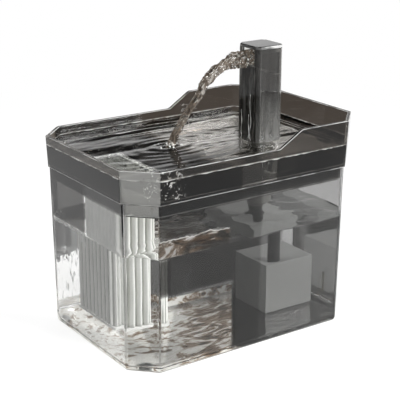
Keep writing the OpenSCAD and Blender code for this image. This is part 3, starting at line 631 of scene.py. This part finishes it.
def make_solid_materials():
    solid("froth", (0.84, 0.85, 0.84), (0.96, 0.96, 0.95), (0.3, 0.5), 1, 0.5, 0.05, metallic=0.6)
    solid("silicone", (0.46, 0.47, 0.47), (0.60, 0.61, 0.61), (0.45, 0.6), 4, 0.4, 0.02)
    solid("white_plastic", (0.78, 0.78, 0.76), (0.88, 0.88, 0.86), (0.35, 0.5), 6, 0.3, 0.01)
    # The fleece's folds carry painted shade.
    solid("fleece", (0.82, 0.83, 0.80), (0.95, 0.95, 0.93), (0.8, 0.95), 5, 0.35, 0.10,
          specular=0.2, stretch=(1, 1, 0.25), painted_shade=folds)
    solid("carbon", (0.02, 0.02, 0.02), (0.06, 0.06, 0.06), (0.5, 0.9), 2, 1.6, 0.5, cells=True)
    solid("grey_plastic", (0.55, 0.555, 0.555), (0.61, 0.615, 0.615), (0.28, 0.38), 18, 0.25, 0.006)
    solid("dark_plastic", (0.06, 0.06, 0.065), (0.10, 0.10, 0.105), (0.35, 0.5), 8, 0.3, 0.02)
    solid("black_rubber", (0.025, 0.025, 0.025), (0.05, 0.05, 0.05), (0.4, 0.55), 6, 0.3, 0.015)
    solid("steel", (0.42, 0.43, 0.45), (0.62, 0.63, 0.65), (0.3, 0.45), 3, 0.5, 0.05,
          metallic=1.0, stretch=(0.05, 1, 0.05))
    solid("copper", (0.45, 0.20, 0.08), (0.70, 0.36, 0.16), (0.25, 0.4), 1, 0.4, 0.08,
          metallic=1.0, stretch=(1, 0.05, 0.05))
    solid("board", (0.03, 0.14, 0.06), (0.06, 0.22, 0.10), (0.3, 0.45), 3, 0.8, 0.02)
    solid("ceramic", (0.86, 0.86, 0.83), (0.93, 0.93, 0.90), (0.12, 0.2), 4, 0.3, 0.003)
    solid("magnet", (0.07, 0.07, 0.075), (0.13, 0.13, 0.14), (0.5, 0.7), 1.5, 0.2, 0.02, metallic=0.3)
    solid("sponge", (0.72, 0.66, 0.30), (0.88, 0.83, 0.50), (0.85, 0.95), 2, 1.1, 0.45,
          specular=0.2, cells=True)


# ---- Mesh helpers ----

def place(name, mesh, material, body, slot=None, replaces=(), sharp=180):
    """Puts a mesh in the scene as a piece of the object. Edges over sharp degrees stay sharp."""
    piece = bpy.data.objects.new(name, mesh)
    scene.collection.objects.link(piece)
    mesh.materials.append(MATERIALS[material])
    for face in mesh.polygons:
        face.use_smooth = True
    if sharp < 180:
        mesh.set_sharp_from_angle(angle=math.radians(sharp))
    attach(piece, body)
    if replaces:
        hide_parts(*replaces)
    return piece


def body_of(name):
    return next(body for body, members in frame["record"]["behaviour"]["bodies"].items() if name in members)


SLOT_OF = {row["node"]: row["material_slot"] for row in frame["record"]["subparts"]}


UPRIGHT_EDGE = 0.2             # up in its normal is less than this on an upright rounded edge
BRIGHT_FROM = 20 * MM          # the tank's edges below this get no painted highlight
TURNED_FRONT = 0.7             # front in its normal is more than this on a face to the front
CAP_BRIGHT = 2.2 * MM          # height of the painted highlight on the front of the tower's cap


def level_edge(face, rounded):
    """Whether a face is on a rounded edge that isn't upright, above the tank's foot; such faces
    get the painted highlight.
    """
    return rounded and abs(face.normal.z) > UPRIGHT_EDGE and face.calc_center_median().z > BRIGHT_FROM


# Every rounded edge gets the painted highlight.
def any_edge(face, rounded):
    return rounded


def front_side(face, rounded):
    """Whether a face is on the front of the tower's cap, which gets the painted highlight."""
    return face.normal.y < -TURNED_FRONT and face.calc_center_median().z > tower_high.z - CAP_BRIGHT


MERGED_WITHIN = 0.002 * MM
FLAT_ANGLE = math.radians(0.6)       # faces that meet at less are joined
SHARP_ANGLE = math.radians(30)       # edges that turn by more are rounded


def rounded_copy(name, width, material=None, segments=2, bright=None, reshape=None):
    """A copy of a CAD node with its sharp edges rounded. It stands for the node. The faces
    that bright picks get the painted edge highlight's material."""
    mesh = nodes[name].data.copy()
    mesh.materials.clear()
    shape = bmesh.new()
    shape.from_mesh(mesh)
    bmesh.ops.remove_doubles(shape, verts=shape.verts, dist=MERGED_WITHIN)
    bmesh.ops.dissolve_limit(shape, angle_limit=FLAT_ANGLE, verts=shape.verts, edges=shape.edges)
    if reshape:
        reshape(shape)
    sharp = [e for e in shape.edges if len(e.link_faces) == 2 and e.calc_face_angle() > SHARP_ANGLE]
    for face in shape.faces:
        face.material_index = 0
    rounded = bmesh.ops.bevel(shape, geom=sharp, offset=width, segments=segments, profile=0.5,
                              affect="EDGES", clamp_overlap=True)
    shape.normal_update()
    if bright:
        edge_faces = set(rounded["faces"])
        for face in shape.faces:
            face.material_index = int(bright(face, face in edge_faces))
    shape.to_mesh(mesh)
    shape.free()
    slot = SLOT_OF[name]
    piece = place(name + "_shell", mesh, material or slot, body_of(name), slot, [name], sharp=50)
    if bright:
        mesh.materials.append(MATERIALS["painted_edge_highlight"])
    even = piece.modifiers.new("even_normals", "WEIGHTED_NORMAL")
    even.keep_sharp = True


def mesh_of(shape, name):
    """The mesh of a bmesh, which is freed."""
    mesh = bpy.data.meshes.new(name)
    shape.to_mesh(mesh)
    shape.free()
    return mesh


def ringed(rings):
    """A mesh from rings of points with equal counts, closed at each end by a fan."""
    count = len(rings[0])
    points = [p for ring in rings for p in ring]
    faces = []
    for r in range(len(rings) - 1):
        for k in range(count):
            a, b = r * count + k, r * count + (k + 1) % count
            faces.append((a, b, b + count, a + count))
    points.append(sum(rings[0], Vector()) / count)
    faces += [(len(points) - 1, (k + 1) % count, k) for k in range(count)]
    points.append(sum(rings[-1], Vector()) / count)
    last = (len(rings) - 1) * count
    faces += [(len(points) - 1, last + k, last + (k + 1) % count) for k in range(count)]
    mesh = bpy.data.meshes.new("ringed")
    mesh.from_pydata([tuple(p) for p in points], [], faces)
    mesh.update()
    return mesh


# ---- Clear shells and the pump's casing ----

JOINT_GAP = 0.3 * MM
LEVEL_WITHIN = 0.01 * MM


def open_joint(shape):
    """Raises the underside of the tray's flange a little, so that the joint shows as a gap."""
    for v in shape.verts:
        if abs(v.co.z - tank_high.z) < LEVEL_WITHIN:
            v.co.z += JOINT_GAP


def make_shells():
    rounded_copy("tank", 0.6 * MM, "tank_plastic", bright=level_edge)
    rounded_copy("tray", 0.6 * MM, "tray_plastic", bright=level_edge, reshape=open_joint)
    rounded_copy("tower_column", 0.5 * MM, "tower_plastic", bright=any_edge)
    rounded_copy("tower_cap", 0.5 * MM, "cap_plastic", bright=front_side)
    rounded_copy("spout_ramp", 0.5 * MM, "tower_plastic", bright=any_edge)
    for name in ("riser_pipe", "filter_frame"):
        rounded_copy(name, 0.25 * MM)
    rounded_copy("pump_case", 0.8 * MM, segments=3)
    for name in ("pump_housing", "pump_cover", "outlet_hose", "filter_end_cap"):
        rounded_copy(name, 0.3 * MM)
    for name in nodes:
        if name.startswith("foot_"):
            rounded_copy(name, 0.25 * MM)


def dress_nodes():
    """Gives every CAD node its material. Those that a piece stands for are hidden later."""
    for name, obj in nodes.items():
        obj.data.materials.clear()
        obj.data.materials.append(MATERIALS[SLOT_OF[name]])


# ---- Pleated filter ----

PLEAT_STEPS = 10               # points around one pleat
PLEAT_LEVELS = 36              # rows of points over the fleece's height
PLEAT_SHARPNESS = 0.6
FOLD_WANDER = 0.35 * MM        # how far the folds stray sideways
FOLD_WANDER_OVER = 16 * MM     # over about this height


def pleat_row():
    """Points around the fleece: the side's number, the place along it and out from it, and the
    number of the fold."""
    half = (filter_high - filter_low) / 2
    row = []
    for turn in range(4):
        length, width = (half.y, half.x) if turn % 2 else (half.x, half.y)
        run = 2 * (length - PLEAT_DEPTH)
        count = math.floor(run / PLEAT_PITCH) * PLEAT_STEPS
        for k in range(count):
            crest = 0.5 + 0.5 * math.cos(math.tau * (k / PLEAT_STEPS + 0.5))
            depth = PLEAT_DEPTH * (1 - crest ** PLEAT_SHARPNESS)
            row.append((turn, -length + PLEAT_DEPTH + run * k / count, -width + depth, k // PLEAT_STEPS))
    return row


def make_fleece():
    """The fleece as soft round pleats with slightly wandering folds."""
    low, high = filter_low, filter_high
    middle, half = (low + high) / 2, (high - low) / 2
    row = pleat_row()
    rings = []
    for level in range(PLEAT_LEVELS + 1):
        z = low.z + (high.z - low.z) * level / PLEAT_LEVELS
        ring = []
        for turn, along, out, fold in row:
            stray = noise.noise(Vector((fold * 3.7 + turn * 11, z / FOLD_WANDER_OVER, 2.0)))
            straight = Vector((along + FOLD_WANDER * stray, out, 0))
            point = Matrix.Rotation(turn * math.pi / 2, 3, "Z") @ straight
            x, y = max(-half.x, min(half.x, point.x)), max(-half.y, min(half.y, point.y))
            ring.append(Vector((middle.x + x, middle.y + y, z)))
        rings.append(ring)
    place("filter_fleece", ringed(rings), "fleece", "filter", "fleece", ["pleated_media"])


# ---- Intake sponge ----

SPONGE_INSET = 0.5 * MM        # the skin lies this far inside the solid
SPONGE_ROUND = 1.5 * MM
SPONGE_EDGE = 1.4 * MM         # longest edge of its mesh
PIT_SIZE = 1.3 * MM
PIT_DEPTH = 1.6 * MM


def make_sponge():
    """Open-cell foam: a soft block whose skin is pitted all over."""
    size = sponge_high - sponge_low - 2 * SPONGE_INSET * Vector((1, 1, 1))
    shape = bmesh.new()
    bmesh.ops.create_cube(shape, size=1.0)
    bmesh.ops.scale(shape, vec=size, verts=shape.verts)
    bmesh.ops.bevel(shape, geom=shape.edges[:], offset=SPONGE_ROUND, segments=3, profile=0.5, affect="EDGES")
    bmesh.ops.triangulate(shape, faces=shape.faces[:])
    while max(e.calc_length() for e in shape.edges) > SPONGE_EDGE:
        long_edges = [e for e in shape.edges if e.calc_length() > SPONGE_EDGE]
        bmesh.ops.subdivide_edges(shape, edges=long_edges, cuts=1)
        bmesh.ops.triangulate(shape, faces=shape.faces[:])
    shape.normal_update()
    for v in shape.verts:
        v.co += v.normal * (min(0.0, noise.noise(v.co / PIT_SIZE)) * PIT_DEPTH)
    bmesh.ops.translate(shape, vec=(sponge_low + sponge_high) / 2, verts=shape.verts)
    piece = place("sponge_block", mesh_of(shape, "sponge"), "sponge", "tank", "sponge", ["intake_sponge"])


# ---- Water ----

RING_POINTS = 420
RING_STEP = 1.1 * MM           # between the rings of a water surface
LIP_HEIGHT = 0.9 * MM          # how far water climbs its wall
LIP_REACH = 1.3 * MM


def inner_ring(tree, z):
    """Where a tub's inner wall is at height z, pushed into the wall by SOAK."""
    ring = []
    for k in range(RING_POINTS):
        a = math.tau * k / RING_POINTS
        way = Vector((math.cos(a), math.sin(a), 0))
        hit = tree.ray_cast(Vector((0, 0, z)), way)[0]
        ring.append(hit + way * SOAK)
    return ring


def at_height(ring, z):
    return [Vector((p.x, p.y, z)) for p in ring]


def pool(node, levels, top, ripple):
    """Rings of a body of water in a tub: levels are (height of the ring, height where the
    wall is measured), and top is the rippled surface."""
    mesh = nodes[node].data
    tree = BVHTree.FromPolygons([v.co for v in mesh.vertices], [tuple(p.vertices) for p in mesh.polygons])
    rings = [at_height(inner_ring(tree, measured), z) for z, measured in levels]
    edge = inner_ring(tree, top)
    reach = max(p.length for p in at_height(edge, 0))
    inward = math.ceil(reach / RING_STEP)
    for r in range(inward):
        share = 1 - r / inward
        ring = []
        for p in edge:
            x, y = p.x * share, p.y * share
            from_wall = (1 - share) * math.hypot(p.x, p.y)
            lip = LIP_HEIGHT * math.exp(-from_wall / LIP_REACH)
            ring.append(Vector((x, y, top + ripple(x, y) + lip)))
        rings.append(ring)
    return ringed(rings)


def waves(x, y, size_x, size_y, height, seed):
    return height * noise.noise(Vector((x / size_x, y / size_y, seed)))


def tank_ripple(x, y):
    wide = waves(x, y, 24 * MM, 15 * MM, 1.3 * MM, 3.1)
    return wide + waves(x, y, 9 * MM, 6.5 * MM, 0.5 * MM, 7.7)


RIPPLE_HEIGHT = 0.22 * MM      # of the rings round the place where the jet lands
RIPPLE_LENGTH = 6.5 * MM
RIPPLE_REACH = 16 * MM
RIPPLE_STRETCH = 0.55          # their width as a share of their length


def tray_ripple(x, y):
    away = math.hypot(RIPPLE_STRETCH * (x - JET_LANDS.x), y - JET_LANDS.y)
    rings = RIPPLE_HEIGHT * math.exp(-away / RIPPLE_REACH) * math.sin(math.tau * away / RIPPLE_LENGTH)
    wide = waves(x, y, 60 * MM, 13 * MM, 0.75 * MM, 1.3)
    return rings + wide + waves(x, y, 26 * MM, 5.5 * MM, 0.22 * MM, 5.9)


def make_pools():
    tank_levels = [(TANK_FLOOR - SOAK, TANK_FLOOR + 0.2 * MM)]
    for z in (TANK_FLOOR + rise * MM for rise in (0.2, 0.8, 1.6, 3.0, 4.0)):
        tank_levels.append((z, z))
    place("tank_water", pool("tank", tank_levels, TANK_WATER, tank_ripple), "water", "tank", sharp=25)
    tray_levels = [
        (TRAY_FLOOR - SOAK, TRAY_FLOOR + 0.3 * MM),
        (TRAY_LEDGE - SOAK, TRAY_LEDGE - 0.5 * MM),
        (TRAY_LEDGE - SOAK, TRAY_LEDGE + 0.5 * MM),
    ]
    place("tray_water", pool("tray", tray_levels, TRAY_WATER, tray_ripple), "dull_water", "tray", sharp=25)


# The jet's middle line and radius, in millimetres: x, z, radius
JET = [
    (46, 191.2, 4.6), (41.7, 191.0, 5.0), (35.5, 190.6, 5.2), (28.4, 190.3, 5.0), (19.7, 187.7, 3.6),
    (12.7, 184.5, 3.7), (7.5, 180.8, 3.6), (3.2, 176.8, 3.2), (-1.4, 168.9, 2.9), (-10.2, 158.8, 2.4),
    (-18.2, 148.5, 2.4), (-24, 137.9, 2.7), (-26.1, 132, 2.9),
]
JET_AROUND = 56                # points around the jet
JET_STEPS = 14                 # rings from one row to the next
SMOOTH_TO = 18                 # the jet is smoothest where x is less than this, in millimetres,
SMOOTH_SOFT = 8                # and roughest from this much further
FROTH_FROM = 24                # froth clings to it where x is over this, in millimetres
TWIST = 0.05                   # radians by which its strands turn from ring to ring


def smooth_through(points, steps):
    """Catmull-Rom curve through tuples."""
    made = []
    for i in range(len(points) - 1):
        p0 = points[max(i - 1, 0)]
        p1, p2 = points[i], points[i + 1]
        p3 = points[min(i + 2, len(points) - 1)]
        for s in range(steps):
            t = s / steps
            made.append(tuple(
                0.5 * (2 * b + (c - a) * t + (2 * a - 5 * b + 4 * c - d) * t * t
                       + (3 * b - a - 3 * c + d) * t ** 3)
                for a, b, c, d in zip(p0, p1, p2, p3)
            ))
    made.append(tuple(points[-1]))
    return made


def strand(turn, size, along):
    """Unevenness around the jet, which runs down it as strands."""
    return noise.noise(Vector((math.cos(turn) * size, math.sin(turn) * size, along)))


def make_jet():
    """A clear braided stream, frothy where it leaves the spout."""
    line = smooth_through(JET, JET_STEPS)
    side = Vector((0, 1, 0))
    rings = []
    for i, (x, z, r) in enumerate(line):
        before, after = line[max(i - 1, 0)], line[min(i + 1, len(line) - 1)]
        along = Vector((after[0] - before[0], 0, after[1] - before[1])).normalized()
        up = along.cross(side)
        froth = max(0.0, min(1.0, (x - SMOOTH_TO) / SMOOTH_SOFT))
        ring = []
        for k in range(JET_AROUND):
            a = math.tau * k / JET_AROUND
            out = (side * math.cos(a) + up * math.sin(a)) * r
            spot = Vector((x, 0, z)) + out
            strands = 0.22 * strand(a, 2.2, i * 0.05) + 0.20 * strand(a + TWIST * i, 3.1, i * 0.09)
            foam = 0.34 * froth * noise.noise(spot / 2.0) + 0.16 * noise.noise(spot / 1.5)
            ring.append((spot + out * (strands + foam)) * MM)
        rings.append(ring)
    place("water_jet", ringed(rings), "jet_water", "tower")


RISER_RADIUS = 3 * MM          # of the riser's bore
RISER_AROUND = 32
RISER_LEVELS = 60


def make_riser_water():
    """Water standing in the riser, so that the pipe reads as full."""
    radius = RISER_RADIUS + SOAK
    rings = []
    for i in range(RISER_LEVELS + 1):
        z = riser_low.z + (riser_high.z - riser_low.z) * i / RISER_LEVELS
        turns = (math.tau * k / RISER_AROUND for k in range(RISER_AROUND))
        rings.append([Vector((riser_x + radius * math.cos(a), radius * math.sin(a), z)) for a in turns])
    place("riser_water", ringed(rings), "water", "tower", sharp=50)


# ---- Bubbles, foam and drops ----

def beads(name, body, spots, material="froth", round_from=0.5 * MM):
    """Small balls: spots are (place, radius). Those over round_from are rounder."""
    shape = bmesh.new()
    for at, radius in spots:
        steps = 2 if radius > round_from else 1
        made = bmesh.ops.create_icosphere(shape, subdivisions=steps, radius=radius)
        bmesh.ops.translate(shape, vec=at, verts=made["verts"])
    place(name, mesh_of(shape, name), material, body)


def share_of(k, seed):
    """Three even random shares for number k."""
    return noise.cell_vector(Vector((k * 1.7 + 0.5, seed, 0.5)))


def on_tray(x, y, lift):
    """A place at lift over the tray's rippled water."""
    return Vector((x, y, TRAY_WATER + tray_ripple(x, y) + lift))


def foam_line(count, seed, start, end, spread, size):
    """Spots along a line, thicker in clumps. Places and size are in millimetres."""
    start, end, spread = (Vector(given) * MM for given in (start, end, spread))
    made = []
    for k in range(count):
        a, b = share_of(k, seed), share_of(k, seed + 31)
        at = start.lerp(end, a.x)
        clump = 0.4 + 0.6 * abs(noise.noise(at / (7 * MM)) * 2)
        off = Vector(((b.x - 0.5) * spread.x, (b.y - 0.5) * spread.y, (b.z - 0.5) * spread.z)) * clump
        made.append((at + off, size * MM * (0.35 + 0.65 * a.y * a.y) * clump))
    return made


BUBBLES_X, BUBBLES_Y = -82 * MM, -58 * MM    # the corner of the tray where bubbles gather
BUBBLES_ALONG, BUBBLES_ACROSS = 40 * MM, 14 * MM
BEVEL_X = -72 * MM             # where the tray's bevel meets its front wall


def make_tray_bubbles():
    """Clear bubbles in the corner of the tray's water by the bevel."""
    spots = []
    for k in range(70):
        spread = noise.cell_vector(Vector((k * 1.7, 3.3, 0.5)))
        x = BUBBLES_X + BUBBLES_ALONG * spread.x
        y = BUBBLES_Y + BUBBLES_ACROSS * spread.y * spread.z
        y = max(y, BUBBLES_Y + max(0.0, BEVEL_X - x))
        r = (0.35 + 0.6 * noise.cell(Vector((k * 2.3, 9.1, 4.0))) ** 2) * MM
        spots.append((on_tray(x, y, 0.3 * r), r))
    beads("tray_bubbles", "tray", spots, "water", round_from=0)


def make_tray_foam():
    """Foam round the place where the jet lands."""
    spots = []
    for k in range(60):
        spread = share_of(k, 8.5)
        turn, away = math.tau * spread.x, (1.5 + 11 * spread.y * spread.y) * MM
        at = on_tray(JET_LANDS.x + away * math.cos(turn), away * math.sin(turn), 0.1 * MM)
        spots.append((at, (0.25 + 0.45 * spread.z) * MM))
    beads("tray_foam", "tray", spots)


def make_tank_foam():
    """Foam on the tank's water, along the end wall by the filter and towards the front."""
    spots = foam_line(420, 3, (-91.2, 46, 82.8), (-91.2, 4, 82.8), (1.4, 3, 3), 1.15)
    spots += foam_line(120, 4, (-91, 44, 84), (-91, 36, 90), (1, 9, 6), 1)
    spots += foam_line(120, 5, (-90, 12, 80), (-90, 4, 75), (2, 6, 7), 1)
    spots += foam_line(300, 9, (-62, -40, 82.9), (-5, -36, 82.9), (3, 5, 1.4), 1.1)
    beads("tank_foam", "tank", spots)


def make_jet_froth():
    """Froth on the jet where it leaves the spout."""
    spots = []
    for k in range(520):
        a, b = share_of(k, 12), share_of(k, 47)
        x = FROTH_FROM + (JET[0][0] - FROTH_FROM) * a.x
        z, radius = min(JET, key=lambda row: abs(row[0] - x))[1:]
        turn = math.tau * a.y
        r = radius * (0.82 + 0.30 * b.x)
        at = Vector((x, r * math.cos(turn), z + r * math.sin(turn)))
        if noise.noise(at / 3.0) > -0.1:
            spots.append((at * MM, (0.22 + 0.42 * b.y * b.y) * MM))
    beads("jet_froth", "tower", spots)


# Trickles down the tower's left face, in millimetres: seed, y, top, low
TRICKLES = ((2, -5.0, 165, 119), (6, -3.2, 150, 122), (9, 5.5, 152, 114))
TRICKLE_STEP = 0.45


def make_tower_drops():
    """Drops that run down the tower's face towards the jet."""
    spots = []
    for seed, y, top, low in TRICKLES:
        for k in range(int((top - low) / TRICKLE_STEP)):
            z = top - TRICKLE_STEP * k
            wander = noise.noise(Vector((seed, z / 9, 0.5)))
            size = 0.16 + 0.28 * abs(noise.noise(Vector((seed, z / 5, 3.5))))
            spots.append((Vector((tower_low.x / MM - 0.1, y + 1.2 * wander, z)) * MM, size * MM))
    beads("tower_drops", "tower", spots)


# ---- The scene ----

def render_limits():
    """Light passes many clear walls before it leaves, and no caustics are traced."""
    scene.view_settings.view_transform = "Standard"
    cycles = scene.cycles
    cycles.max_bounces = 32
    cycles.transmission_bounces = 32
    cycles.glossy_bounces = 16
    cycles.diffuse_bounces = 4
    cycles.transparent_max_bounces = 32
    cycles.caustics_reflective = False
    cycles.caustics_refractive = False


make_camera()
make_world()
make_floor()
make_lamps()
render_limits()
make_clear_materials()
make_solid_materials()
dress_nodes()
make_shells()
make_fleece()
make_sponge()
make_pools()
make_jet()
make_riser_water()
make_tray_bubbles()
make_tray_foam()
make_tank_foam()
make_jet_froth()
make_tower_drops()
